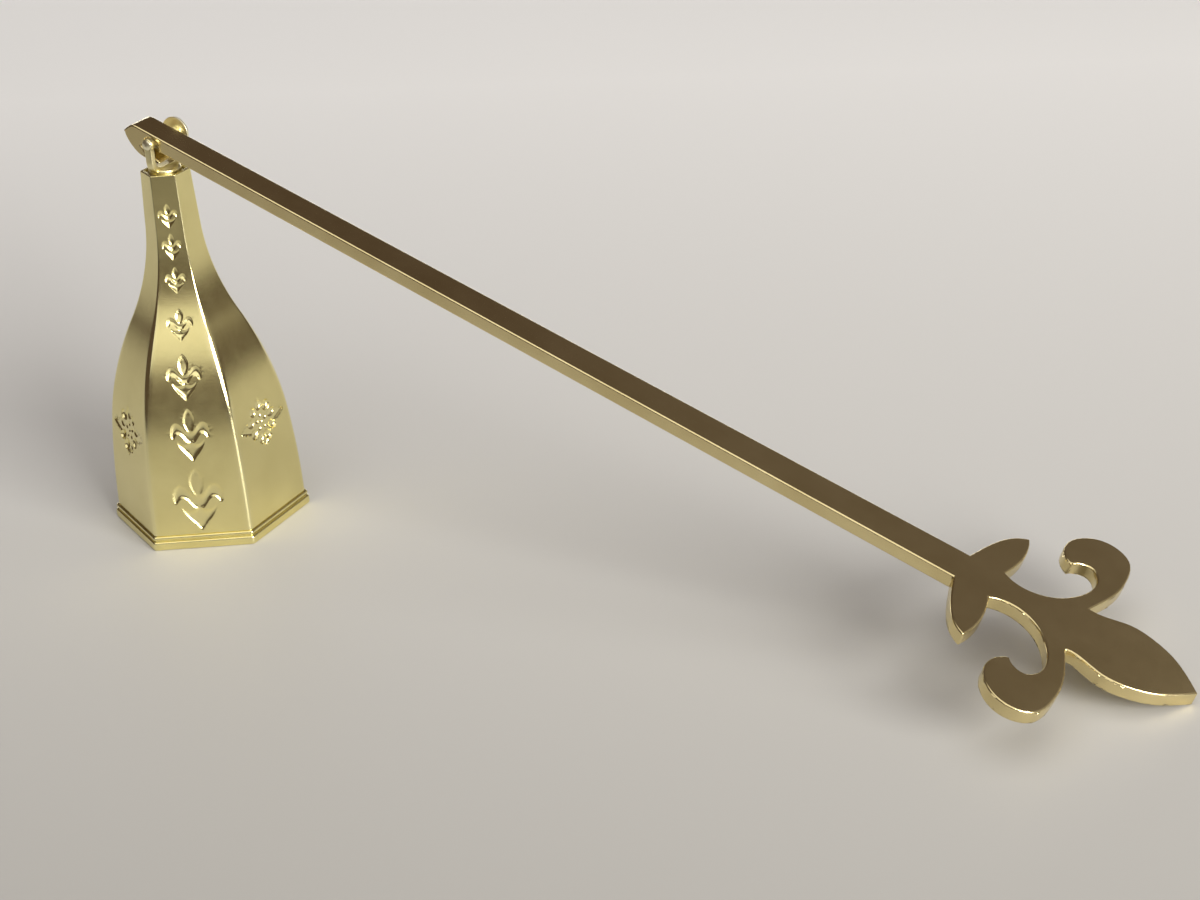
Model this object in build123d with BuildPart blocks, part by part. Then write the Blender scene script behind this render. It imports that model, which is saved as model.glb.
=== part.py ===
from build123d import *
import os
from math import asin, atan2, cos, radians, sin, sqrt

os.makedirs("parts", exist_ok=True)

# A candle snuffer in cast brass: a six-sided bell on the table, and a flat handle that swings on
# a cross pin above the neck and leans down until the tip of its lily touches the table.
# Millimetres. Z is the bell's axis, the origin is the centre of its foot, +X is the handle's side.

# Bell: radii are to a corner of the hexagon, and heights are shares of the bell's height to its rim
bell_height = 73.9
neck_top_radius = 4.85
neck_base_radius = 5.45
shoulder_radius = 10.9
belly_radius = 17.9
skirt_radius = 19.3
neck_base_share = 0.846
shoulder_share = 0.591
belly_share = 0.3045
bell_wall = 1.4

# Foot moulding that is let into a step round the bell's lower edge
foot_radius = 20.0
foot_band_height = 1.85
foot_band_rounding = 0.4
foot_groove_radius = 19.45
foot_groove_width = 0.25
foot_bead_height = 0.8
foot_bead_swell = 0.3
foot_bead_gap = 0.15
foot_step_depth = 0.55

# Cap that closes the neck, lying in a pocket inside the rim
rim_width = 0.7
cap_thickness = 1.55
cap_recess = 0.25
cap_clearance = 0.08
cap_chamfer = 0.3

# Cross pin and the fork that carries it
pin_above_rim = 6.1
pin_radius = 0.8
pin_head_radius = 3.0
pin_head_rim = 0.5
pin_head_dome = 0.6
pin_peened_radius = 1.05
pin_peened_dome = 0.35
pin_press_clearance = 0.01
pin_running_clearance = 0.05
arm_top_radius = 1.25
arm_width = 1.6
arm_thickness = 1.2
arm_side_clearance = 0.3
fork_floor_above_cap = 0.1
fork_inner_rounding = 1.6
boss_radius = 3.2
boss_height = 1.0
boss_rounding = 0.5
shank_radius = 1.3
shank_clearance = 0.02
rivet_head_radius = 2.0
rivet_head_height = 0.6

# Handle, measured along its bar from the cross pin to the tip of the lily
handle_length = 218.0
handle_top = 1.7
handle_underside = 1.0
bar_half_width_at_pin = 2.95
bar_half_width_at_middle = 3.83
bar_half_width_at_lily = 4.15
bar_middle_share = 0.5
lily_length = 44.9
lily_half_width = 29.6
nose_length = 6.45
knuckle_depth = 3.75
heel_length = 8.0
eye_recess_radius = 1.9
eye_recess_depth = 0.9
eye_recess_drop = 0.85

# Lily of the handle: distance back from the tip as a share of its length, then the distance from
# the middle line as a share of its half width
petal_shares = [(0, 0), (0.094, 0.159), (0.147, 0.223), (0.22, 0.275), (0.343, 0.301), (0.445, 0.25),
                (0.501, 0.243)]
curl_outside_shares = [(0.501, 0.243), (0.468, 0.395), (0.441, 0.561), (0.439, 0.743), (0.479, 0.943),
                       (0.577, 1), (0.682, 0.905), (0.717, 0.764), (0.704, 0.659), (0.657, 0.583)]
curl_inside_shares = [(0.657, 0.583), (0.637, 0.625), (0.584, 0.652), (0.539, 0.574), (0.535, 0.446),
                      (0.568, 0.311), (0.635, 0.182), (0.724, 0.115), (0.846, 0.152)]
leaf_front_shares = [(0.846, 0.152), (0.831, 0.24), (0.82, 0.368), (0.844, 0.611)]
leaf_back_shares = [(0.844, 0.611), (0.906, 0.53), (0.949, 0.402), (0.98, 0.253)]

# Nose and knuckle of the handle in side view: shares of the nose's length and of the knuckle's depth
nose_crown_share = -0.63
nose_side_shares = [(-0.93, 0.171), (-1, -0.08), (-0.91, -0.37), (-0.58, -0.79)]
knuckle_bottom_share = -0.12
heel_shares = (0.31, -0.8)

# Small lilies sunk into the faces, one under the other: top and foot as shares of the bell's height,
# and full width as a share of the skirt's radius. Right half of their outline from the tip down, in
# shares of the half width and the height: each Bezier curve runs from its first point to its last.
small_lily_shares = [(0.924, 0.858, 0.207), (0.843, 0.771, 0.207), (0.754, 0.685, 0.218),
                     (0.647, 0.566, 0.28), (0.537, 0.417, 0.373), (0.398, 0.25, 0.42),
                     (0.233, 0.049, 0.544)]
small_lily_depth = 0.45
small_petal_shares = [(0, 1), (0.4, 0.86), (0.32, 0.7), (0.12, 0.57)]
small_curl_outside_shares = [(0.12, 0.57), (0.42, 0.6), (0.5, 0.98), (1.22, 0.72), (1, 0.42),
                             (0.84, 0.44)]
small_curl_inside_shares = [(0.84, 0.44), (0.74, 0.45), (0.74, 0.58), (0.42, 0.62), (0.34, 0.36),
                            (0.12, 0.36)]
small_leaf_top_shares = [(0.12, 0.36), (0.42, 0.28), (0.7, 0.44)]
small_leaf_underside_shares = [(0.7, 0.44), (0.68, 0.3), (0.44, 0.2), (0.22, 0.11)]
small_foot_shares = [(0.22, 0.11), (0.12, 0.05), (0, 0)]

# Sunk rosettes: a ring of round petals in a shallower disc with four leaves
rosette_height_share = 0.306
rosette_disc_radius = 3.3
rosette_petals = 9
rosette_petal_radius = 0.95
rosette_ring_radius = 3.4
rosette_heart_radius = 1.5
rosette_leaf_rise = 5.3
rosette_leaf_reach = 7.9
rosette_leaf_half_width = 1.5
rosette_leaf_depth = 0.25
rosette_petal_depth = 0.5
cutter_rise = 0.5

# Values that follow from the ones above
hexagon_sides = 6
flat_share = cos(radians(30))
neck_base_height = bell_height * neck_base_share
shoulder_height = bell_height * shoulder_share
belly_height = bell_height * belly_share
skirt_height = foot_band_height + foot_groove_width + foot_bead_height + foot_bead_gap
rosette_height = bell_height * rosette_height_share
pin_height = bell_height + pin_above_rim
cap_top = bell_height - cap_recess
cap_bottom = cap_top - cap_thickness
fork_inner = bar_half_width_at_pin + arm_side_clearance
fork_outer = fork_inner + arm_thickness
fork_bottom = cap_top + fork_floor_above_cap
handle_tilt = asin(pin_height / sqrt(handle_length**2 + handle_underside**2)) - atan2(
    handle_underside, handle_length
)
handle_along = (cos(handle_tilt), 0, -sin(handle_tilt))
handle_normal = (sin(handle_tilt), 0, cos(handle_tilt))
handle_reach = handle_length + lily_length
pin_centre = (0, 0, pin_height)
pin_axis = Axis(pin_centre, (0, 1, 0))
side_view = Plane(origin=pin_centre, x_dir=handle_along, z_dir=(0, -1, 0))
plan_view = Plane(origin=pin_centre, x_dir=handle_along, z_dir=handle_normal)
lily_faces = [60, 180, 300]
rosette_faces = [0, 120, 240]


def upright_plane(turn):
    """A plane through the axis: its x points out of the face at this angle, its y points up."""
    angle = radians(turn)
    return Plane(origin=(0, 0, 0), x_dir=(cos(angle), sin(angle), 0), z_dir=(sin(angle), -cos(angle), 0))


def face_plane(turn):
    """A plane across the face at this angle: its x runs along the face, its y points up."""
    angle = radians(turn)
    return Plane(origin=(0, 0, 0), x_dir=(-sin(angle), cos(angle), 0), z_dir=(cos(angle), sin(angle), 0))


def bell_curve(grow):
    """The bell's section line from the rim down to the skirt, on a face, moved out by grow."""
    points = [
        (radius * flat_share + grow, height)
        for radius, height in (
            (neck_top_radius, bell_height),
            (neck_base_radius, neck_base_height),
            (shoulder_radius, shoulder_height),
            (belly_radius, belly_height),
            (skirt_radius, skirt_height),
        )
    ]
    stretch = Line(points[0], points[1])
    for start, end in zip(points[1:], points[2:]):
        stretch = TangentArc(start, end, tangent=stretch % 1)
    return points


def bell_outside_edge():
    points = bell_curve(0)
    step = points[-1][0] - foot_step_depth
    Line(points[-1], (step, skirt_height))
    Line((step, skirt_height), (step, 0))
    Line((step, 0), (0, 0))
    Line((0, bell_height), points[0])


def bell_inside_edge():
    points = bell_curve(-bell_wall)
    Line(points[-1], (points[-1][0], 0))
    Line((points[-1][0], 0), (0, 0))
    Line((0, bell_height), points[0])


def pocket_edge():
    out = neck_top_radius * flat_share - rim_width
    Polyline((0, cap_bottom), (out, cap_bottom), (out, bell_height), (0, bell_height))


def cap_edge():
    out = neck_top_radius * flat_share - rim_width - cap_clearance
    bevel_start = (out, cap_top - cap_chamfer)
    Polyline((0, cap_bottom), (out, cap_bottom), bevel_start, (out - cap_chamfer, cap_top), (0, cap_top))


def foot_edge():
    """Section of the foot moulding: a broad band, a groove and a thin bead."""
    out = foot_radius * flat_share
    groove = foot_groove_radius * flat_share
    skirt = skirt_radius * flat_share
    shoulder = foot_band_height - foot_band_rounding
    bead_low = foot_band_height + foot_groove_width
    bead_high = bead_low + foot_bead_height
    Line((0, 0), (out - foot_band_rounding, 0))
    band_foot = TangentArc((out - foot_band_rounding, 0), (out, foot_band_rounding), tangent=(1, 0))
    Line(band_foot @ 1, (out, shoulder))
    TangentArc((out, shoulder), (out - foot_band_rounding, foot_band_height), tangent=(0, 1))
    Line((out - foot_band_rounding, foot_band_height), (groove, foot_band_height))
    Line((groove, foot_band_height), (groove, bead_low))
    bead_middle = (groove + foot_bead_swell, (bead_low + bead_high) / 2)
    ThreePointArc((groove, bead_low), bead_middle, (groove, bead_high))
    Line((groove, bead_high), (skirt, bead_high))
    Line((skirt, bead_high), (skirt, skirt_height))
    Line((skirt, skirt_height), (0, skirt_height))


def hexagonal_solid(draw_edge):
    """The solid that three pairs of faces with the same section leave, whatever the section."""
    with BuildPart() as solid:
        for turn in range(0, 180, 360 // hexagon_sides):
            with BuildSketch(upright_plane(turn)):
                with BuildLine():
                    draw_edge()
                    mirror(about=Plane.YZ)
                make_face()
            extrude(
                amount=2 * foot_radius,
                both=True,
                mode=Mode.ADD if turn == 0 else Mode.INTERSECT,
            )
    return solid.part


def cutter_layer(turn, depth):
    """A skin over one face of the bell, from skirt to rim, that reaches this deep into the wall."""
    with BuildPart() as layer:
        with BuildSketch(upright_plane(turn)):
            with BuildLine():
                inner = bell_curve(-depth)
                outer = bell_curve(cutter_rise)
                Line(inner[0], outer[0])
                Line(inner[-1], outer[-1])
            make_face()
        extrude(amount=foot_radius / 2, both=True)
    return layer.part


def half_outline(stretches, place):
    """Smooth stretches that meet in points, with every point put in place."""
    for shares in stretches:
        Spline([place(along, across) for along, across in shares])


def small_lily(top, foot, width):
    """The cutter for one lily of the first lily face."""
    with BuildPart() as lily:
        with BuildSketch(face_plane(lily_faces[0])):
            with BuildLine():
                for shares in (
                    small_petal_shares,
                    small_curl_outside_shares,
                    small_curl_inside_shares,
                    small_leaf_top_shares,
                    small_leaf_underside_shares,
                    small_foot_shares,
                ):
                    Bezier(*[(across * width / 2, foot + up * (top - foot)) for across, up in shares])
                mirror(about=Plane.YZ)
            make_face()
        extrude(amount=foot_radius)
        add(lily_layer, mode=Mode.INTERSECT)
    return lily.part


# Cutters for the row of lilies on one face and for the rosette on another
lily_layer = cutter_layer(lily_faces[0], small_lily_depth)
with BuildPart() as lily_row:
    for top_share, foot_share, width_share in small_lily_shares:
        add(small_lily(top_share * bell_height, foot_share * bell_height, width_share * skirt_radius))
with BuildPart() as rosette_leaves:
    with BuildSketch(face_plane(rosette_faces[0])):
        with Locations((0, rosette_height)):
            Circle(rosette_disc_radius)
        for reach, turn in ((rosette_leaf_reach, 0), (rosette_leaf_rise, 90)):
            with BuildLine():
                for side in (-1, 1):
                    middle = Vector(0, side * rosette_leaf_half_width).rotate(Axis.Z, turn)
                    tip = Vector(reach, 0).rotate(Axis.Z, turn)
                    centre = Vector(0, rosette_height)
                    ThreePointArc(centre - tip, centre + middle, centre + tip)
            make_face()
    extrude(amount=foot_radius)
    add(cutter_layer(rosette_faces[0], rosette_leaf_depth), mode=Mode.INTERSECT)
with BuildPart() as rosette_rings:
    with BuildSketch(face_plane(rosette_faces[0])):
        with Locations((0, rosette_height)):
            Circle(rosette_heart_radius)
            with PolarLocations(rosette_ring_radius, rosette_petals, start_angle=90):
                Circle(rosette_petal_radius)
    extrude(amount=foot_radius)
    add(cutter_layer(rosette_faces[0], rosette_petal_depth), mode=Mode.INTERSECT)

# Bell shell: six curved faces with sunk ornaments, hollow to the pocket under the cap, open below
bell_outside = hexagonal_solid(bell_outside_edge)
bell_inside = hexagonal_solid(bell_inside_edge)
cap_pocket = hexagonal_solid(pocket_edge)
above_pocket_floor = Plane.XY.offset(cap_bottom)
with BuildPart() as hollow:
    add(bell_inside)
    split(bisect_by=above_pocket_floor, keep=Keep.BOTTOM)
    add(cap_pocket)
with BuildPart() as bell_shell:
    add(bell_outside)
    add(hollow.part, mode=Mode.SUBTRACT)
    for turn in lily_faces:
        with Locations(Rotation(0, 0, turn - lily_faces[0])):
            add(lily_row.part, mode=Mode.SUBTRACT)
    for turn in rosette_faces:
        with Locations(Rotation(0, 0, turn)):
            add(rosette_leaves.part, mode=Mode.SUBTRACT)
            add(rosette_rings.part, mode=Mode.SUBTRACT)
bell_shell.part.label = "bell_shell"
export_step(bell_shell.part, "parts/bell_shell.step")

# Foot moulding: a six-sided ring that fills the step round the shell's lower edge
foot_outside = hexagonal_solid(foot_edge)
with BuildPart() as foot_moulding:
    add(foot_outside)
    add(bell_outside, mode=Mode.SUBTRACT)
    add(bell_inside, mode=Mode.SUBTRACT)
foot_moulding.part.label = "foot_moulding"
export_step(foot_moulding.part, "parts/foot_moulding.step")

# Neck cap: a six-sided plate in the pocket, bored for the fork's shank
neck_cap_blank = hexagonal_solid(cap_edge)
with BuildPart() as neck_cap:
    add(neck_cap_blank)
    with BuildSketch(Plane.XY.offset(cap_bottom)):
        Circle(shank_radius + shank_clearance)
    extrude(amount=cap_thickness, mode=Mode.SUBTRACT)
neck_cap.part.label = "neck_cap"
export_step(neck_cap.part, "parts/neck_cap.step")

# Fork: a strap bent to a U whose two arms end round, on a round boss, riveted through the cap
with BuildPart() as boss:
    with BuildSketch(Plane.XY.offset(cap_top)):
        Circle(boss_radius)
    extrude(amount=boss_height)
    fillet(boss.edges().group_by(Axis.Z)[-1], radius=boss_rounding)
with BuildPart() as fork:
    with BuildSketch(Plane.YZ):
        with Locations((0, (pin_height + fork_bottom) / 2)):
            outside = Rectangle(2 * fork_outer, pin_height - fork_bottom)
        fillet(outside.vertices().group_by(Axis.Y)[0], radius=fork_inner_rounding + arm_thickness)
    extrude(amount=arm_width / 2, both=True)
    with BuildSketch(Plane.YZ):
        gap_height = pin_height - fork_bottom - arm_thickness
        with Locations((0, pin_height - gap_height / 2)):
            gap = Rectangle(2 * fork_inner, gap_height)
        fillet(gap.vertices().group_by(Axis.Y)[0], radius=fork_inner_rounding)
    extrude(amount=arm_width / 2, both=True, mode=Mode.SUBTRACT)
    for side in (-1, 1):
        with BuildSketch(Plane(origin=(0, side * fork_inner, pin_height), z_dir=(0, side, 0))):
            Circle(arm_top_radius)
        extrude(amount=arm_thickness)
    add(boss.part)
    with BuildSketch(Plane.XY.offset(cap_bottom)):
        Circle(shank_radius)
    extrude(amount=cap_thickness)
    with BuildSketch(Plane.XY.offset(cap_bottom - rivet_head_height)):
        Circle(rivet_head_radius)
    extrude(amount=rivet_head_height)
    with BuildSketch(Plane(origin=(0, -fork_outer, pin_height), z_dir=(0, 1, 0))):
        Circle(pin_radius + pin_press_clearance)
    extrude(amount=2 * fork_outer, mode=Mode.SUBTRACT)
fork.part.label = "fork"
export_step(fork.part, "parts/fork.step")

# Pivot pin: a plain shaft with a round button head on the far side, its near end peened over
with BuildPart() as pivot_pin:
    with BuildSketch(Plane.XY.offset(pin_height)):
        with BuildLine():
            peened_tip = (0, -fork_outer - pin_peened_dome)
            rim_end = (pin_head_radius, fork_outer + pin_head_rim)
            head_tip = (0, fork_outer + pin_head_rim + pin_head_dome)
            TangentArc(peened_tip, (pin_peened_radius, -fork_outer), tangent=(1, 0))
            Polyline(
                (pin_peened_radius, -fork_outer),
                (pin_radius, -fork_outer),
                (pin_radius, fork_outer),
                (pin_head_radius, fork_outer),
                rim_end,
            )
            TangentArc(head_tip, rim_end, tangent=(1, 0))
            Line(head_tip, peened_tip)
        make_face()
    revolve(axis=pin_axis)
pivot_pin.part.label = "pivot_pin"
export_step(pivot_pin.part, "parts/pivot_pin.step")

# Handle: the side view gives its thickness, nose and knuckle, the plan view gives its outline
with BuildPart() as handle:
    with BuildSketch(side_view):
        with BuildLine():
            crown = (nose_crown_share * nose_length, handle_top)
            bar_top = Line((handle_reach, handle_top), crown)
            heel_end = (heel_length, -handle_underside)
            side_points = [(along * nose_length, up * knuckle_depth) for along, up in nose_side_shares]
            bottom = (knuckle_bottom_share * nose_length, -knuckle_depth)
            heel = (heel_shares[0] * heel_length, heel_shares[1] * knuckle_depth)
            Spline([crown, *side_points, bottom, heel, heel_end], tangents=[(-1, 0), (1, 0)])
            bar_underside = Line(heel_end, (handle_reach, -handle_underside))
            Line(bar_underside @ 1, bar_top @ 0)
        make_face()
    extrude(amount=2 * lily_half_width, both=True)
    with BuildSketch(plan_view):
        with BuildLine():
            lily_start = handle_length - lily_length
            middle = (handle_length * bar_middle_share, bar_half_width_at_middle)
            notch = (lily_start, bar_half_width_at_lily)
            Polyline(
                (-2 * nose_length, 0),
                (-2 * nose_length, bar_half_width_at_pin),
                (0, bar_half_width_at_pin),
                middle,
                notch,
            )
            half_outline(
                [petal_shares, curl_outside_shares, curl_inside_shares, leaf_front_shares],
                lambda back, across: (handle_length - back * lily_length, across * lily_half_width),
            )
            leaf_back = [
                (handle_length - back * lily_length, across * lily_half_width)
                for back, across in leaf_back_shares
            ]
            Spline([*leaf_back, notch])
            mirror(about=Plane.XZ)
        make_face()
    extrude(amount=2 * nose_length, both=True, mode=Mode.INTERSECT)
    with BuildSketch(side_view):
        Circle(pin_radius + pin_running_clearance)
    extrude(amount=2 * bar_half_width_at_pin, both=True, mode=Mode.SUBTRACT)
    for side in (-1, 1):
        with BuildSketch(side_view.offset(side * (bar_half_width_at_pin - eye_recess_depth))):
            with Locations((0, -eye_recess_drop)):
                Circle(eye_recess_radius)
        extrude(amount=side * 2 * eye_recess_depth, mode=Mode.SUBTRACT)
handle.part.label = "handle"
export_step(handle.part, "parts/handle.step")
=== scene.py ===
import bpy
import bmesh
import math
import numpy as np
from mathutils import Matrix, Vector
from mathutils.geometry import delaunay_2d_cdt


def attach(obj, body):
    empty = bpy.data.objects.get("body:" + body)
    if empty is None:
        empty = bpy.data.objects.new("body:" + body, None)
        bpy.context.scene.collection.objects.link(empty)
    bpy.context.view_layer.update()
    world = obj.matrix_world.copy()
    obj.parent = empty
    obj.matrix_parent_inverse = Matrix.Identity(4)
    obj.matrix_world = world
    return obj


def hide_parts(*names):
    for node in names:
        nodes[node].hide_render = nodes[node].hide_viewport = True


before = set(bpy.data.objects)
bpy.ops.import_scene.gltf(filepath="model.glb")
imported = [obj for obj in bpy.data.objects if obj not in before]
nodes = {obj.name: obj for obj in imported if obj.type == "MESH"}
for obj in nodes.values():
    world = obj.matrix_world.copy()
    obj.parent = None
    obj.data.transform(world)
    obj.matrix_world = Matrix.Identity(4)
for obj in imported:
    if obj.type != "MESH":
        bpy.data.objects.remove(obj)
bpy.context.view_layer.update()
mm = 0.001
faceTurn = 60  # degrees from one face of the bell to the next
halfTurn = math.radians(faceTurn / 2)
cosHalf = math.cos(halfTurn)  # half width of a hexagon over its corner radius
print("frame loaded,", len(nodes), "nodes")


# Small helpers for shaders
class Wire:
    # a socket that can stand in a sum, so shader maths reads as plain expressions
    def __init__(self, finish, socket):
        self.finish = finish
        self.socket = socket

    def maths(self, operation, first, second):
        return self.finish.add("ShaderNodeMath", {"operation": operation}, {0: first, 1: second})

    def __add__(self, other):
        return self.maths("ADD", self, other)

    def __radd__(self, other):
        return self.maths("ADD", other, self)

    def __sub__(self, other):
        return self.maths("SUBTRACT", self, other)

    def __rsub__(self, other):
        return self.maths("SUBTRACT", other, self)

    def __mul__(self, other):
        return self.maths("MULTIPLY", self, other)

    def __rmul__(self, other):
        return self.maths("MULTIPLY", other, self)


class Finish:
    # a node material under construction
    def __init__(self, name):
        self.material = bpy.data.materials.new(name)
        self.material.use_nodes = True
        self.tree = self.material.node_tree
        self.tree.nodes.clear()

    def add(self, kind, settings=None, inputs=None, output=0):
        # inputs and output are sockets by name, or by place where a node has several of one name
        node = self.tree.nodes.new(kind)
        for name, value in (settings or {}).items():
            if name == "stops":  # a ramp's two stops
                for element, (position, shade) in zip(node.color_ramp.elements, value):
                    element.position = position
                    element.color = (shade, shade, shade, 1)
            else:
                setattr(node, name, value)
        for key, value in (inputs or {}).items():
            if isinstance(value, Wire):
                self.tree.links.new(value.socket, node.inputs[key])
            else:
                node.inputs[key].default_value = value
        return Wire(self, node.outputs[output]) if node.outputs else None

    def objectSpot(self):
        return self.add("ShaderNodeTexCoord", output="Object")

    def blend(self, factor, first, second):
        # places 6 and 7 are a Mix node's two colours, and output 2 is the mixed one
        return self.add("ShaderNodeMix", {"data_type": "RGBA"}, {0: factor, 6: first, 7: second}, 2)

    def noise(self, where, size, detail, roughness=0.5):
        # size is the width of one blotch in millimetres
        return self.add(
            "ShaderNodeTexNoise", {},
            {"Vector": where, "Scale": 1 / (size * mm), "Detail": detail, "Roughness": roughness},
        )

    def close(self, shader):
        self.add("ShaderNodeOutputMaterial", {}, {"Surface": shader})
        return self.material


def rgba(red, green, blue):
    return (red, green, blue, 1.0)


def swing(noise, reach):
    # a noise between 0 and 1 made to swing evenly to both sides of nothing
    return (noise - 0.5) * reach


# Brass finishes, from the blotchy satin of the bell to the bright hinge
brasses = dict(
    satinBrass=dict(light=(0.88, 0.79, 0.38), dark=(0.80, 0.71, 0.33), rough=0.24, bump=0.30),
    handleBrass=dict(light=(0.80, 0.68, 0.37), dark=(0.72, 0.60, 0.31), rough=0.23, bump=0.35),
    brightBrass=dict(light=(0.93, 0.85, 0.50), dark=(0.86, 0.77, 0.42), rough=0.34, bump=0.20),
    pinBrass=dict(light=(0.97, 0.92, 0.68), dark=(0.93, 0.87, 0.60), rough=0.34, bump=0.20),
)
# what they share: blotches of tone, smears from handling and a fine grain, sizes in millimetres
brassSkin = dict(
    blotchSize=9, blotchDetail=3, toneStops=[(0.3, 0), (0.7, 1)],
    smearSize=2.4, smearDetail=4, smearRoughness=0.65, smearSwing=0.10, smearBump=0.6,
    grainSize=0.22, grainDetail=2, grainRoughness=0.6, grainSwing=0.06,
    bumpDepth=0.02,
    # edges and hollows, where polishing has caught the metal: glossier there, and painted lighter in colour
    # as a highlight
    polishAndHighlightColour=(0.95, 0.88, 0.50), polishAndHighlightShare=0.7, polishGloss=0.10,
)


def brassFinish(name, look):
    skin = brassSkin
    finish = Finish(name)
    where = finish.objectSpot()
    blotches = finish.noise(where, skin["blotchSize"], skin["blotchDetail"])
    grain = finish.noise(where, skin["grainSize"], skin["grainDetail"], skin["grainRoughness"])
    smears = finish.noise(where, skin["smearSize"], skin["smearDetail"], skin["smearRoughness"])
    polishAndHighlight = finish.add("ShaderNodeAttribute", {"attribute_name": "polishAndHighlight"}, output="Fac")
    tone = finish.add("ShaderNodeValToRGB", {"stops": skin["toneStops"]}, {0: blotches})
    colour = finish.blend(tone, rgba(*look["dark"]), rgba(*look["light"]))
    # painted highlight: the polished edges and hollows get a lighter colour that brightens their highlights
    colour = finish.blend(polishAndHighlight * skin["polishAndHighlightShare"], colour, rgba(*skin["polishAndHighlightColour"]))
    roughness = look["rough"] + swing(smears, skin["smearSwing"]) + swing(grain, skin["grainSwing"])
    roughness = roughness - polishAndHighlight * skin["polishGloss"]
    height = grain + smears * skin["smearBump"]
    bump = finish.add(
        "ShaderNodeBump", {},
        {"Strength": look["bump"], "Distance": skin["bumpDepth"] * mm, "Height": height},
    )
    shader = finish.add(
        "ShaderNodeBsdfPrincipled", {},
        {"Base Color": colour, "Metallic": 1.0, "Roughness": roughness, "Normal": bump},
    )
    return finish.close(shader)


metals = {name: brassFinish(name, look) for name, look in brasses.items()}
print("finishes made")

# Mesh helpers; lengths in millimetres, angles in degrees
weldReach = 0.002  # points closer than this become one


def placePiece(name, mesh, plan, sharpAngle):
    # smooth faces, hard only at edges that turn by more than sharpAngle
    mesh.polygons.foreach_set("use_smooth", [True] * len(mesh.polygons))
    mesh.set_sharp_from_angle(angle=math.radians(sharpAngle))
    mesh.materials.append(metals[plan["metal"]])
    piece = bpy.data.objects.new(name, mesh)
    bpy.context.scene.collection.objects.link(piece)
    weighted = piece.modifiers.new("evenNormals", "WEIGHTED_NORMAL")
    weighted.keep_sharp = True
    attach(piece, plan["body"])
    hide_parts(plan["node"])
    print(name, "made,", len(mesh.polygons), "faces")


def makePiece(name, plan, points, faces, polishAndHighlight):
    mesh = bpy.data.meshes.new(name)
    mesh.from_pydata(points, [], faces)
    layer = mesh.attributes.new("polishAndHighlight", "FLOAT", "POINT")
    layer.data.foreach_set("value", np.asarray(polishAndHighlight, np.float32))
    bm = bmesh.new()
    bm.from_mesh(mesh)
    bmesh.ops.remove_doubles(bm, verts=bm.verts, dist=weldReach * mm)
    bmesh.ops.recalc_face_normals(bm, faces=bm.faces)
    bm.to_mesh(mesh)
    bm.free()
    placePiece(name, mesh, plan, plan["sharpAngle"])


# how the edges of the CAD shapes are found and rounded
softening = dict(flatAngle=0.5, edgeAngle=32, weldAfter=0.003, sharpAngle=40)


def softenedCopy(name, plan):
    # the CAD node's own shape with its edges rounded, except where the plan's staysSharp says so of
    # a spot in millimetres
    bm = bmesh.new()
    bm.from_mesh(nodes[plan["node"]].data)
    bmesh.ops.remove_doubles(bm, verts=bm.verts, dist=weldReach * mm)
    flat = math.radians(softening["flatAngle"])
    bmesh.ops.dissolve_limit(bm, angle_limit=flat, verts=bm.verts, edges=bm.edges)
    edgeTurn = math.radians(softening["edgeAngle"])
    sharp = [e for e in bm.edges if len(e.link_faces) == 2 and e.calc_face_angle() > edgeTurn]
    if "staysSharp" in plan:
        sharp = [e for e in sharp if not any(plan["staysSharp"](v.co / mm) for v in e.verts)]
    bmesh.ops.bevel(
        bm, geom=sharp, offset=plan["rounding"] * mm, offset_type="OFFSET", segments=plan["steps"],
        profile=0.5, affect="EDGES", clamp_overlap=False,
    )
    bmesh.ops.remove_doubles(bm, verts=bm.verts, dist=softening["weldAfter"] * mm)
    bmesh.ops.recalc_face_normals(bm, faces=bm.faces)
    mesh = bpy.data.meshes.new(name)
    bm.to_mesh(mesh)
    bm.free()
    placePiece(name, mesh, plan, softening["sharpAngle"])


def arcPoints(start, end, steps):
    # cosine and sine at even steps from one angle to another
    angles = [math.radians(start + (end - start) * i / steps) for i in range(steps + 1)]
    return [(math.cos(angle), math.sin(angle)) for angle in angles]


# Bell, in millimetres
bell = dict(
    node="bell_shell", body="bell", slot="satin_brass", metal="satinBrass", sharpAngle=50,
    height=73.9, wall=1.4, rimWidth=0.7, lip=0.16, pocketDepth=1.8, footStep=0.55,
    # corner radius and share of the height, from the rim down
    shape=[(4.85, 1.0), (5.45, 0.846), (10.9, 0.591), (17.9, 0.3045), (19.3, 0.04127)],
    neckSteps=4, arcSteps=40, lipSteps=4, cornerSteps=5,
    # rounding of the corners between the faces as a share of the half width, worn wider at the
    # shoulder; wornAt and wornReach are shares of the height
    roundingShare=0.065, wornShare=0.06, wornAt=0.53, wornReach=0.13,
    flatMargin=0.6,  # how far a corner's points reach on to the flats, in roundings
    rimRounding=0.2, insideRounding=0.45,  # of the corners inside the rim and inside the wall
    endShine=0.35,  # polish and painted highlight where a rounding ends, as a share of its middle
)


def turned(arrow, angle):
    cosine, sine = math.cos(angle), math.sin(angle)
    return Vector((arrow.x * cosine - arrow.y * sine, arrow.x * sine + arrow.y * cosine))


def sectionLine(shape):
    # straight neck, then arcs that each leave the last one smoothly, as (half width, height)
    marks = [Vector((radius * cosHalf, share * bell["height"])) for radius, share in shape]
    heading = (marks[1] - marks[0]).normalized()
    neckSteps, arcSteps = bell["neckSteps"], bell["arcSteps"]
    line = [marks[0].lerp(marks[1], i / neckSteps) for i in range(neckSteps + 1)]
    for start, end in zip(marks[1:], marks[2:]):
        chord = end - start
        turn = 2 * math.atan2(heading.x * chord.y - heading.y * chord.x, heading.dot(chord))
        radius = chord.length / (2 * math.sin(abs(turn) / 2))
        side = 1 if turn > 0 else -1
        centre = start + side * radius * Vector((-heading.y, heading.x))
        spoke = start - centre
        line += [centre + turned(spoke, turn * i / arcSteps) for i in range(1, arcSteps + 1)]
        heading = turned(heading, turn)
    return line


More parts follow.
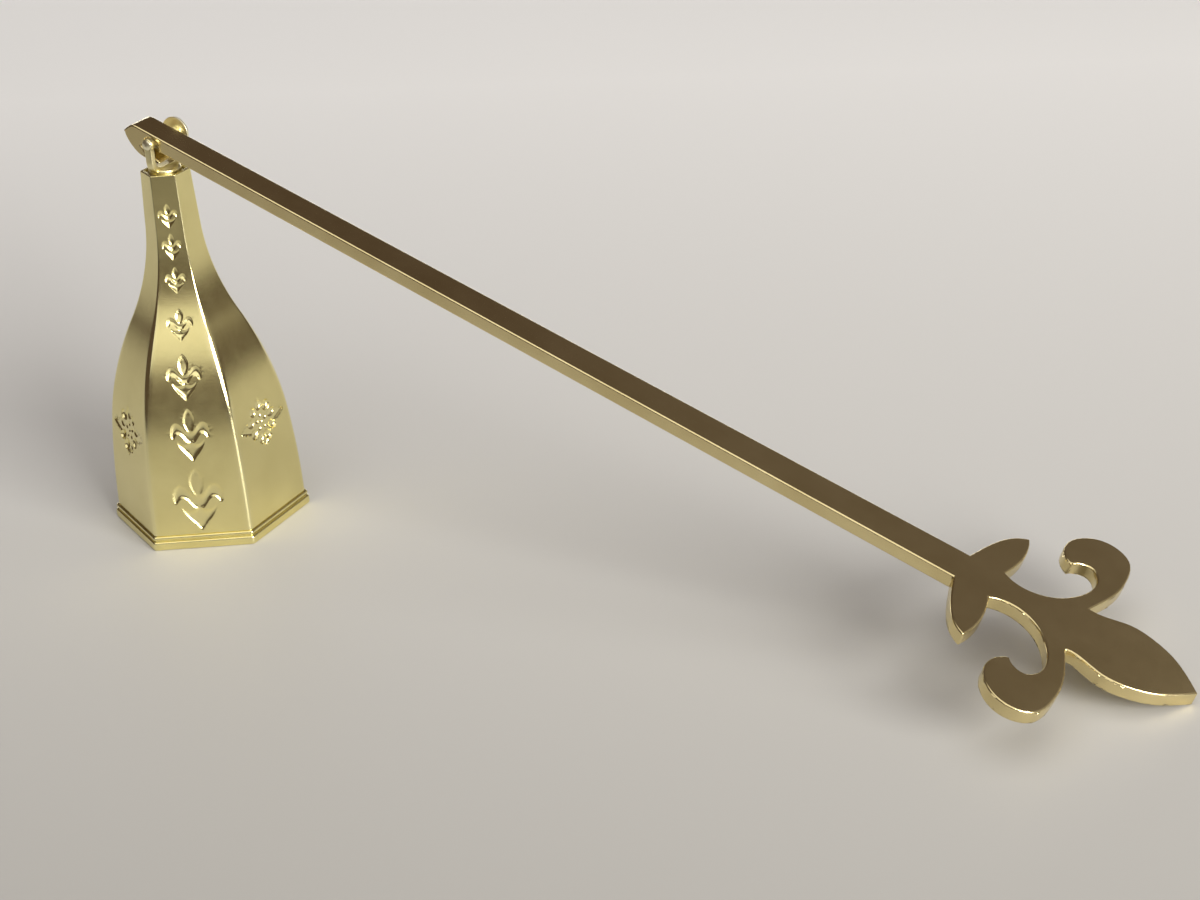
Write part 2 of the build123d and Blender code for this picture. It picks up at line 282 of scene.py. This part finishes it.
bellLine = sectionLine(bell["shape"])
lipShare = bell["lip"] / (bellLine[0].y - bellLine[1].y)
bellLine[0] = bellLine[0].lerp(bellLine[1], lipShare)  # the rounded lip takes over here
lineHeights = np.array([p.y for p in bellLine])[::-1]
lineWidths = np.array([p.x for p in bellLine])[::-1]


def bellHalfWidth(height):
    return np.interp(height, lineHeights, lineWidths)


def cornerRounding(spot):
    # spot is (half width, height)
    worn = math.exp(-((spot[1] / bell["height"] - bell["wornAt"]) / bell["wornReach"]) ** 2)
    return spot[0] * (bell["roundingShare"] + bell["wornShare"] * worn)


def flatHalfWidth(spot):
    # half the width of a face's flat part, between its two rounded corners
    soft = cornerRounding(spot)
    return (spot[0] - soft) * math.tan(halfTurn) - bell["flatMargin"] * soft


def cornerShine(place, steps):
    # full along the rounding, less at its two ends, none on the flats
    if place < 0 or place > steps:
        return 0.0
    return bell["endShine"] if place in (0, steps) else 1.0


def hexRings(section, openRows=()):
    # rings of a six-sided body with rounded corners; section is (half width, height, rounding,
    # polish with its painted highlight), and in the open rows the flats are left out
    steps = bell["cornerSteps"]
    perCorner = steps + 3  # the rounding's own points and one on the flat at each end
    perRing = 6 * perCorner
    points, faces, polishAndHighlight = [], [], []
    for halfWidth, height, rounding, shine in section:
        reach = (halfWidth - rounding) / cosHalf
        for corner in range(6):
            middle = math.radians(faceTurn / 2 + faceTurn * corner)
            centre = Vector((reach * math.cos(middle), reach * math.sin(middle)))
            for place in range(-1, steps + 2):
                onArc = min(max(place, 0), steps)
                angle = middle - halfTurn + math.radians(faceTurn) * onArc / steps
                spot = centre + rounding * Vector((math.cos(angle), math.sin(angle)))
                along = Vector((-math.sin(angle), math.cos(angle)))
                spot = spot + along * (bell["flatMargin"] * rounding * (place - onArc))
                points.append((spot.x * mm, spot.y * mm, height * mm))
                polishAndHighlight.append(shine * cornerShine(place, steps))
    rings = len(section)
    for r in range(rings):
        low, high = r * perRing, ((r + 1) % rings) * perRing
        for i in range(perRing):
            after = (i + 1) % perRing
            onFlat = i % perCorner == perCorner - 1
            if not (onFlat and r in openRows):
                faces.append((low + i, low + after, high + after, high + i))
    return points, faces, polishAndHighlight


footRings = 2  # the step behind the moulding, first in the bell's section


def bellSection():
    # the step, up the outside, over the lip, down the cap's pocket and the inside
    outside = [(p.x, p.y, cornerRounding(p), 1.0) for p in reversed(bellLine)]
    skirt, skirtBottom, skirtRounding, _ = outside[0]
    neck, neckTop, neckRounding, _ = outside[-1]
    step = skirt - bell["footStep"]
    section = [(step, 0, skirtRounding, 0), (step, skirtBottom, skirtRounding, 0)]
    section += outside
    rimIn = neck - bell["rimWidth"]
    lip = bell["lip"]
    for cosine, sine in arcPoints(0, 90, bell["lipSteps"])[1:]:
        section.append((neck - lip + lip * cosine, neckTop + lip * sine, neckRounding, 1.0))
    for cosine, sine in arcPoints(90, 180, bell["lipSteps"]):
        section.append((rimIn + lip + lip * cosine, neckTop + lip * sine, bell["rimRounding"], 1.0))
    pocket = bell["height"] - bell["pocketDepth"]
    section.append((rimIn, pocket, bell["rimRounding"], 0))
    soft = bell["insideRounding"]
    section.append((bellHalfWidth(pocket) - bell["wall"], pocket, soft, 0))
    section += [(p.x - bell["wall"], p.y, soft, 0) for p in bellLine if p.y < pocket]
    section.append((section[-1][0], 0, soft, 0))
    return section


# Foot moulding, a band, a groove and a bead, in millimetres
foot = dict(
    node="foot_moulding", body="bell", slot="satin_brass", metal="satinBrass", sharpAngle=35,
    radius=20.0, bandHeight=1.85, bandRounding=0.4, grooveRadius=19.45, grooveWidth=0.25,
    beadHeight=0.8, beadSwell=0.3, beadInset=0.12, rounding=0.6,
    # lowShine and shine are the polish on the band's roundings and on the bead, painted lighter there as a
    # highlight
    bandSteps=5, beadSteps=8, lowShine=0.6, shine=0.8,
)


def footSection():
    out = foot["radius"] * cosHalf
    groove = foot["grooveRadius"] * cosHalf
    skirt, skirtBottom = bellLine[-1]
    inner = skirt - bell["footStep"]
    soft, band = foot["bandRounding"], foot["bandHeight"]
    swell, halfBead = foot["beadSwell"], foot["beadHeight"] / 2
    middle = band + foot["grooveWidth"] + halfBead
    behindBead = skirt - foot["beadInset"]
    section = [(inner, 0, 0)]
    for cosine, sine in arcPoints(-90, 0, foot["bandSteps"]):
        section.append((out + soft * (cosine - 1), soft * (1 + sine), foot["lowShine"]))
    for cosine, sine in arcPoints(0, 90, foot["bandSteps"]):
        section.append((out + soft * (cosine - 1), band + soft * (sine - 1), foot["shine"]))
    section.append((groove, band, 0))
    for cosine, sine in arcPoints(-90, 90, foot["beadSteps"]):
        section.append((groove + swell * cosine, middle + halfBead * sine, foot["shine"]))
    section.append((behindBead, middle + halfBead, 0))
    section.append((behindBead, skirtBottom, 0))
    section.append((inner, skirtBottom, 0))
    return [(halfWidth, height, foot["rounding"], shine) for halfWidth, height, shine in section]


makePiece("footMoulding", foot, *hexRings(footSection()))

# Ornaments sunk into the bell's faces; a hollow is one closed outline in (across, up)
tiny = 1e-12  # keeps a division by a length of nothing away


def edgeDistance(points, outline):
    # distance of each point from the nearest stretch of the closed outline
    starts = np.array(outline)
    ends = np.roll(starts, -1, axis=0)
    run = ends - starts
    length = np.maximum((run ** 2).sum(1), tiny)
    away = points[:, None, :] - starts[None, :, :]
    share = np.clip((away * run[None]).sum(2) / length, 0, 1)
    gap = away - share[..., None] * run[None]
    return np.sqrt((gap ** 2).sum(2)).min(1)


def insideOutline(points, outline):
    starts = np.array(outline)
    ends = np.roll(starts, -1, axis=0)
    run = ends - starts
    x, y = points[:, 0:1], points[:, 1:2]
    above = (starts[:, 1] > y) != (ends[:, 1] > y)
    with np.errstate(divide="ignore", invalid="ignore"):
        cross = run[:, 0] * (y - starts[:, 1]) / run[:, 1] + starts[:, 0]
    return ((above & (x < cross)).sum(1) % 2) == 1


# the net of points over a face, in millimetres and shares
faceNet = dict(
    columns=15, reachShare=0.9,  # coarse points in each row, over this share of the face
    clear=0.3,  # coarse points stay this far from a hollow's edge
    guard=0.08, guardShare=0.8,  # points just outside an edge, dropped where they come nearer than a share
    latticeShare=0.45,  # the hollow's own points stay this share of their spacing inside its edge
    join=0.001, slopeReach=0.2,
)


def latticeInside(outline, spacing):
    # points in rows inside a closed outline, none of them close to it
    border = np.array(outline)
    low, high = border.min(0), border.max(0)
    across = np.arange(low[0] + spacing / 2, high[0], spacing)
    up = np.arange(low[1] + spacing / 2, high[1], spacing)
    grid = np.array([(a, b) for b in up for a in across])
    grid = grid[insideOutline(grid, outline)]
    return grid[edgeDistance(grid, outline) > spacing * faceNet["latticeShare"]]


def guardRing(outline):
    # points just outside an outline, which keep its edge crisp
    away = faceNet["guard"]
    ring = np.array(outline)
    run = np.roll(ring, -1, axis=0) - np.roll(ring, 1, axis=0)
    length = np.maximum(np.linalg.norm(run, axis=1), tiny)
    outward = np.column_stack([run[:, 1], -run[:, 0]]) / length[:, None]
    spots = ring + outward * away
    if insideOutline(spots, outline).mean() > 0.5:
        spots = ring - outward * away
    clear = edgeDistance(spots, outline) > away * faceNet["guardShare"]
    return spots[clear & ~insideOutline(spots, outline)]


def hollowDepth(spots, hollows):
    # depth below the face at each spot, where the deepest hollow counts
    depth = np.zeros(len(spots))
    for hollow in hollows:
        border = np.array(hollow["outline"])
        near = ((spots >= border.min(0)) & (spots <= border.max(0))).all(1)
        inner = spots[near]
        inside = insideOutline(inner, hollow["outline"])
        # a slope from the edge that eases into a flat floor
        wall = edgeDistance(inner, hollow["outline"]) * hollow["slope"]
        sink = hollow["depth"] * np.tanh(wall / hollow["depth"])
        if "ridge" in hollow:
            sink = sink * hollow["ridge"](inner)
        depth[near] = np.maximum(depth[near], np.where(inside, sink, 0))
    return depth


def faceSheet(hollows):
    # one face between its corners: (across, up, out) points, faces and depth
    right = [(flatHalfWidth(p), p.y) for p in bellLine]
    border = right + [(-across, up) for across, up in reversed(right)]
    columns = np.linspace(-faceNet["reachShare"], faceNet["reachShare"], faceNet["columns"])
    coarse = np.array([(share * across, up) for across, up in right[1:-1] for share in columns])
    fine = []
    for hollow in hollows:
        outline = hollow["outline"]
        clear = edgeDistance(coarse, outline) > faceNet["clear"]
        coarse = coarse[clear & ~insideOutline(coarse, outline)]
        fine += [np.array(outline), latticeInside(outline, hollow["spacing"]), guardRing(outline)]
    spots = np.vstack([coarse] + fine)
    count = len(border)
    insideOnly = 1  # the triangulation keeps what the border encloses
    verts, _, faces, _, _, _ = delaunay_2d_cdt(
        [Vector(p) for p in border] + [Vector(p) for p in spots],
        [(i, (i + 1) % count) for i in range(count)], [], insideOnly, faceNet["join"],
    )
    flat = np.array([tuple(v) for v in verts])
    depth = hollowDepth(flat, hollows)
    return np.column_stack([flat, -depth]), [tuple(f) for f in faces], depth


def onFace(sheet, turn):
    # puts (across, up, out) points on the bell's face that looks along this angle
    across, up, out = sheet.T
    reach = faceNet["slopeReach"]
    slope = (bellHalfWidth(up + reach) - bellHalfWidth(up - reach)) / (2 * reach)
    tilt = np.sqrt(1 + slope ** 2)
    away = bellHalfWidth(up) + out / tilt
    cosine, sine = math.cos(math.radians(turn)), math.sin(math.radians(turn))
    placed = np.column_stack([
        cosine * away - sine * across, sine * away + cosine * across, up - slope * out / tilt,
    ])
    return [tuple(p) for p in placed * mm]


smallLily = dict(
    faces=(60, 180, 300),
    # top and foot as shares of the bell's height, full width as a share of the skirt's radius
    places=[
        (0.924, 0.858, 0.207), (0.843, 0.771, 0.207), (0.754, 0.685, 0.218), (0.647, 0.566, 0.28),
        (0.537, 0.417, 0.373), (0.398, 0.25, 0.42), (0.233, 0.049, 0.544),
    ],
    depth=(0.45, 0.34),  # smallest lily, largest lily
    slope=0.75, pointsAcross=46,
    # ridge of the upper petal, in shares of the lily's height, width and depth
    ridgeFrom=0.5, ridgeTo=0.97, ridgeFade=0.1, ridgeWidth=0.09, ridgeHeight=0.4,
    # right half from the tip down, in shares of the half width and of the height
    outline=[
        [(0, 1), (0.4, 0.86), (0.32, 0.7), (0.12, 0.57)],
        [(0.12, 0.57), (0.42, 0.6), (0.5, 0.98), (1.22, 0.72), (1, 0.42), (0.84, 0.44)],
        [(0.84, 0.44), (0.74, 0.45), (0.74, 0.58), (0.42, 0.62), (0.34, 0.36), (0.12, 0.36)],
        [(0.12, 0.36), (0.42, 0.28), (0.7, 0.44)],
        [(0.7, 0.44), (0.68, 0.3), (0.44, 0.2), (0.22, 0.11)],
        [(0.22, 0.11), (0.12, 0.05), (0, 0)],
    ],
    curveSteps=4, stepsPerMark=3,  # a curve with more marks gets more points
)


def bezier(marks, steps):
    # points along a Bezier curve, without its last one
    marks = [Vector(m) for m in marks]
    line = []
    for i in range(steps):
        level = marks
        while len(level) > 1:
            level = [a.lerp(b, i / steps) for a, b in zip(level, level[1:])]
        line.append(level[0])
    return line


def lilyOutline(halfWidth, base, tall):
    right = []
    for stretch in smallLily["outline"]:
        steps = smallLily["curveSteps"] + smallLily["stepsPerMark"] * len(stretch)
        right += bezier([(x * halfWidth, base + y * tall) for x, y in stretch], steps)
    left = [Vector((-p.x, p.y)) for p in reversed(right[1:])]
    return [tuple(p) for p in right + [Vector((0, base))] + left]


def petalRidge(base, tall, halfWidth):
    # a low ridge up the middle of the upper petal, fading out at its tip and at the waist
    width = smallLily["ridgeWidth"] * 2 * halfWidth
    fadeOver = smallLily["ridgeFade"]

    def ridge(spots):
        up = (spots[:, 1] - base) / tall
        fade = np.clip((up - smallLily["ridgeFrom"]) / fadeOver, 0, 1)
        fade = fade * np.clip((smallLily["ridgeTo"] - up) / fadeOver, 0, 1)
        crest = np.exp(-(spots[:, 0] / width) ** 2)
        return 1 - smallLily["ridgeHeight"] * fade * crest

    return ridge


def lilyHollows():
    hollows = []
    skirtRadius = bell["shape"][-1][0]
    last = len(smallLily["places"]) - 1
    firstDepth, lastDepth = smallLily["depth"]
    for i, (topShare, footShare, widthShare) in enumerate(smallLily["places"]):
        base = footShare * bell["height"]
        tall = (topShare - footShare) * bell["height"]
        halfWidth = widthShare * skirtRadius / 2
        hollows.append(dict(
            outline=lilyOutline(halfWidth, base, tall), slope=smallLily["slope"],
            spacing=2 * halfWidth / smallLily["pointsAcross"],
            depth=firstDepth + (lastDepth - firstDepth) * i / last, ridge=petalRidge(base, tall, halfWidth),
        ))
    return hollows


rosette = dict(
    faces=(0, 120, 240), heightShare=0.306, slope=2.2,
    leaf=dict(reach=7.4, rise=5.4, halfWidth=1.9, depth=0.34, spacing=0.2, points=32),
    disc=dict(radius=3.3, depth=0.22, spacing=0.22, points=48),
    petal=dict(depth=0.62, spacing=0.12, points=28),
    # how many petals, how far out, half their length and half their width
    rings=[(9, 3.4, 1.25, 1.02), (5, 1.4, 0.72, 0.6)],
    eyeRadius=0.55,
)


def closedCurve(halfLong, halfWide, turn, centre, count, pointed=False):
    # an ellipse, or a leaf with a point at both ends
    cosine, sine = math.cos(turn), math.sin(turn)
    ring = []
    for i in range(count):
        angle = 2 * math.pi * i / count
        pinch = abs(math.sin(angle)) if pointed else 1
        x, y = halfLong * math.cos(angle), halfWide * math.sin(angle) * pinch
        spot = Vector((centre[0] + x * cosine - y * sine, centre[1] + x * sine + y * cosine))
        ring.append(tuple(spot))
    return ring


def rosetteHollows():
    # two crossed leaves, the disc, two rings of petals and the eye
    leaf, disc, petal = rosette["leaf"], rosette["disc"], rosette["petal"]
    eye = rosette["eyeRadius"]
    up = rosette["heightShare"] * bell["height"]
    middle = (0, up)
    hollows = []

    def sink(part, outline):
        hollows.append(dict(
            outline=outline, spacing=part["spacing"], depth=part["depth"], slope=rosette["slope"],
        ))

    for halfLong, turn in ((leaf["reach"], 0), (leaf["rise"], math.pi / 2)):
        sink(leaf, closedCurve(halfLong, leaf["halfWidth"], turn, middle, leaf["points"], pointed=True))
    sink(disc, closedCurve(disc["radius"], disc["radius"], 0, middle, disc["points"]))
    for number, ringRadius, halfLong, halfWide in rosette["rings"]:
        for i in range(number):
            turn = math.pi / 2 + 2 * math.pi * i / number
            centre = (ringRadius * math.cos(turn), up + ringRadius * math.sin(turn))
            sink(petal, closedCurve(halfLong, halfWide, turn, centre, petal["points"]))
    sink(petal, closedCurve(eye, eye, 0, middle, petal["points"]))
    return hollows


def bellShell():
    # corners, rim and inside from rings, then the six faces with their sunk ornaments
    openRows = range(footRings, footRings + len(bellLine) - 1)
    points, faces, polishAndHighlight = hexRings(bellSection(), openRows)
    for turns, hollows in ((smallLily["faces"], lilyHollows()), (rosette["faces"], rosetteHollows())):
        sheet, sheetFaces, depth = faceSheet(hollows)
        for turn in turns:
            first = len(points)
            points += onFace(sheet, turn)
            faces += [tuple(first + i for i in face) for face in sheetFaces]
            polishAndHighlight += [float(d) for d in depth]  # the hollows are polished more and painted lighter as a highlight, the deeper they are
    return points, faces, polishAndHighlight


makePiece("bellShell", bell, *bellShell())

# Hinge and handle, from the CAD shapes with their edges rounded, in millimetres
hinge = dict(pinHeight=80.0, bossReach=3.6, bossTop=75.3, recessReach=3.2, recessWithin=2.5)


def besideBoss(spot):
    # where the strap runs into its boss, the edges lie too close together to be rounded
    return spot.z < hinge["bossTop"] and math.hypot(spot.x, spot.y) < hinge["bossReach"]


def insideEye(spot):
    # the floor of the recess round the bore
    away = math.hypot(spot.x, spot.z - hinge["pinHeight"])
    return abs(spot.y) < hinge["recessWithin"] and away < hinge["recessReach"]


hingePieces = dict(
    neckCap=dict(
        node="neck_cap", body="bell", slot="polished_brass", metal="brightBrass",
        rounding=0.08, steps=2,
    ),
    forkArms=dict(
        node="fork", body="bell", slot="polished_brass", metal="brightBrass",
        rounding=0.28, steps=3, staysSharp=besideBoss,
    ),
    pivotPin=dict(
        node="pivot_pin", body="bell", slot="polished_brass", metal="pinBrass",
        rounding=0.10, steps=2,
    ),
    handleBar=dict(
        node="handle", body="handle", slot="handle_brass", metal="handleBrass",
        rounding=0.35, steps=3, staysSharp=insideEye,
    ),
)
for name, plan in hingePieces.items():
    softenedCopy(name, plan)

# Table, in metres
table = dict(
    back=(0.93, 0.925, 0.905), front=(0.45, 0.44, 0.415), shade=(0.10, 0.09, 0.085), rough=0.55, size=6.0,
    frontTurn=-66,  # degrees from +X towards +Y, the way from the bell to the camera
    # how far along that way the tones change, a painted fall of light from the pale back to the darker
    # front; the last pair is the edge of a painted shadow in front
    backAt=-0.30, frontAt=0.14, shadeFrom=0.14, shadeTo=0.27,
    weaveSize=1.2, weaveDetail=3, weaveShare=0.02, weaveColour=(0.5, 0.5, 0.5),  # weave size in millimetres
)


def tableFinish():
    finish = Finish("paleTable")
    where = finish.objectSpot()
    weave = finish.noise(where, table["weaveSize"], table["weaveDetail"])
    x = finish.add("ShaderNodeSeparateXYZ", {}, {0: where}, "X")
    y = finish.add("ShaderNodeSeparateXYZ", {}, {0: where}, "Y")
    turn = math.radians(table["frontTurn"])
    ahead = x * math.cos(turn) + y * math.sin(turn)
    soft = {"interpolation_type": "SMOOTHSTEP"}
    # a Map Range node's first three places are its value, from and to
    # painted light: the table darkens from its pale back towards the camera, then into a painted shadow
    paintedFalloff = finish.add("ShaderNodeMapRange", {}, {0: ahead, 1: table["backAt"], 2: table["frontAt"]})
    paintedShadow = finish.add("ShaderNodeMapRange", soft, {0: ahead, 1: table["shadeFrom"], 2: table["shadeTo"]})
    colour = finish.blend(paintedFalloff, rgba(*table["back"]), rgba(*table["front"]))
    colour = finish.blend(weave * table["weaveShare"], colour, rgba(*table["weaveColour"]))
    colour = finish.blend(paintedShadow, colour, rgba(*table["shade"]))
    shader = finish.add("ShaderNodeBsdfPrincipled", {}, {"Base Color": colour, "Roughness": table["rough"]})
    return finish.close(shader)


def makeTable():
    half = table["size"] / 2
    mesh = bpy.data.meshes.new("paleTable")
    corners = [(-half, -half, 0), (half, -half, 0), (half, half, 0), (-half, half, 0)]
    mesh.from_pydata(corners, [], [(0, 1, 2, 3)])
    mesh.materials.append(tableFinish())
    floor = bpy.data.objects.new("paleTable", mesh)
    bpy.context.scene.collection.objects.link(floor)


makeTable()
print("table made")

# Light; turn and rise in degrees as seen from lampAim, lengths in metres, glow in radiance
lampAim = Vector((0.04, 0, 0.03))
lamps = dict(
    window=dict(turn=-24, rise=19, away=1.3, size=(0.75, 0.5), glow=18.5, colour=(1.0, 0.985, 0.95)),
    paleWall=dict(turn=-69, rise=31, away=1.8, size=(1.4, 0.86), glow=0.9, colour=(1.0, 0.98, 0.94)),
    rightWall=dict(turn=36, rise=26, away=1.8, size=(1.9, 0.9), glow=0.26, colour=(1.0, 0.98, 0.94)),
    farWall=dict(turn=76, rise=30, away=1.8, size=(0.9, 0.7), glow=0.05, colour=(1.0, 0.96, 0.90)),
    backWindow=dict(turn=125, rise=7, away=1.3, size=(1.8, 0.2), glow=3.4, colour=(0.98, 0.99, 1.0)),
    ceiling=dict(turn=-66, rise=75, away=1.5, size=(2.0, 2.0), glow=1.1, colour=(1.0, 0.99, 0.97)),
)
roomColour = (0.085, 0.060, 0.048)


def makeLamp(name, lamp):
    light = bpy.data.lights.new(name, "AREA")
    light.shape = "RECTANGLE"
    light.size, light.size_y = lamp["size"]
    light.energy = lamp["glow"] * math.pi * light.size * light.size_y
    light.color = lamp["colour"]
    holder = bpy.data.objects.new(name, light)
    bpy.context.scene.collection.objects.link(holder)
    turn, rise = math.radians(lamp["turn"]), math.radians(lamp["rise"])
    heading = Vector((math.cos(turn) * math.cos(rise), math.sin(turn) * math.cos(rise), math.sin(rise)))
    holder.location = heading * lamp["away"] + lampAim
    holder.rotation_euler = heading.to_track_quat("Z", "Y").to_euler()


def makeRoom():
    world = bpy.data.worlds.new("room")
    world.use_nodes = True
    world.node_tree.nodes["Background"].inputs["Color"].default_value = rgba(*roomColour)
    bpy.context.scene.world = world
    bpy.context.scene.view_settings.view_transform = "Standard"


for name, lamp in lamps.items():
    makeLamp(name, lamp)
makeRoom()
print("light made")

# Camera; place and nearest in metres, turn from +Y towards -X, down and roll in degrees, lens and
# sensor in millimetres
cameraSpot = dict(
    place=(0.2761, -0.3359, 0.2115), turn=28.73, down=25.46, roll=-3.52, lens=69.0, sensor=36, nearest=0.01,
)


def aimCamera():
    turn, down, roll = (math.radians(cameraSpot[k]) for k in ("turn", "down", "roll"))
    forward = Vector((-math.sin(turn) * math.cos(down), math.cos(turn) * math.cos(down), -math.sin(down)))
    right = Vector((math.cos(turn), math.sin(turn), 0))
    up = right.cross(forward)
    rolledRight = math.cos(roll) * right + math.sin(roll) * up
    rolledUp = -math.sin(roll) * right + math.cos(roll) * up
    camera = bpy.data.cameras.new("camera")
    camera.lens = cameraSpot["lens"]
    camera.sensor_width = cameraSpot["sensor"]
    camera.clip_start = cameraSpot["nearest"]
    holder = bpy.data.objects.new("camera", camera)
    bpy.context.scene.collection.objects.link(holder)
    pose = Matrix((rolledRight, rolledUp, -forward)).transposed().to_4x4()
    pose.translation = Vector(cameraSpot["place"])
    holder.matrix_world = pose
    bpy.context.scene.camera = holder


aimCamera()
print("camera set")
